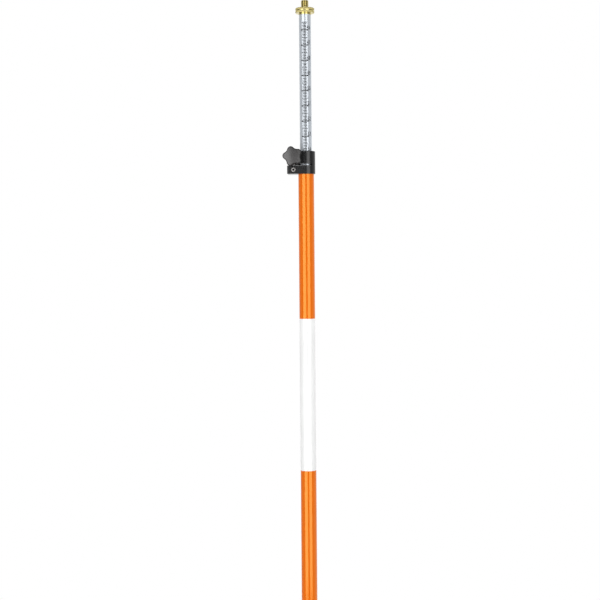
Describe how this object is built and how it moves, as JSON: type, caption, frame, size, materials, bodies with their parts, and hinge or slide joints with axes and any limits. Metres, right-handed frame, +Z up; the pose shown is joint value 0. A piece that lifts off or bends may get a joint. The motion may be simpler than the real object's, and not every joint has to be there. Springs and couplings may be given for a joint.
{
  "type": "survey prism pole",
  "caption": "Telescoping survey pole with banded outer tube, graduated sliding inner tube, split clamp with star knob, brass prism stud on top and steel ground point below",
  "frame": {"origin": "sharp end of the ground point, on the axis of the pole", "axes": "+Z runs up the pole to the prism stud, the clamp's lugs point to -X, and the star knob faces -Y, towards the camera of the picture"},
  "size_m": [0.0635, 0.0582, 1.6603],
  "materials": {
    "painted_tube": "aluminium tube with glossy enamel in orange and white bands one foot long",
    "silver_tube": "satin clear anodised aluminium tube with dark printed graduations",
    "plain_aluminium": "turned bare aluminium",
    "black_aluminium": "machined aluminium, satin black anodised",
    "turned_brass": "turned brass, bright, with a knurled flange",
    "plated_steel": "zinc plated steel",
    "hardened_steel": "hardened ground steel",
    "knob_plastic": "black moulded plastic with a fine matt grain",
    "bush_plastic": "black acetal, turned",
    "stop_rubber": "black moulded rubber"
  },
  "bodies": {
    "lower_section": {"outer_tube": "painted_tube", "mouth_bush": "bush_plastic", "clamp_body": "black_aluminium", "clamp_liner": "bush_plastic", "pinch_screw": "plated_steel", "knob_nut": "plated_steel", "foot_plug": "plain_aluminium", "foot_pin": "plated_steel", "rubber_stop": "stop_rubber", "point_body": "plated_steel", "point_tip": "hardened_steel"},
    "slide_guide": {"guide_bush": "bush_plastic"},
    "upper_section": {"inner_tube": "silver_tube", "top_adapter": "turned_brass", "adapter_pin": "plated_steel", "inner_plug": "plain_aluminium", "inner_plug_pin": "plated_steel", "guide_washer": "plated_steel", "guide_screw": "plated_steel"},
    "knob_washer": {"knob_washer": "plated_steel"},
    "knob": {"star_knob": "knob_plastic", "knob_stud": "plated_steel"}
  },
  "joints": [
    {"name": "tube_slide", "type": "slide", "parent": "lower_section", "child": "slide_guide", "axis": [0, 0, 1], "range_m": [-0.2593, 0.8203]},
    {"name": "tube_swivel", "type": "hinge", "parent": "slide_guide", "child": "upper_section", "pos_m": [0, 0, 0.4442], "axis": [0, 0, 1], "continuous": true},
    {"name": "knob_travel", "type": "slide", "parent": "lower_section", "child": "knob_washer", "axis": [0, -1, 0], "range_m": [0, 0.0025]},
    {"name": "knob_turn", "type": "hinge", "parent": "knob_washer", "child": "knob", "pos_m": [-0.0244, -0.0185, 1.3449], "axis": [0, -1, 0], "range_deg": [0, 720]}
  ],
  "couplings": [
    {"joint": "knob_turn", "follows": "knob_travel", "rad_per_m": 5026.5}
  ]
}
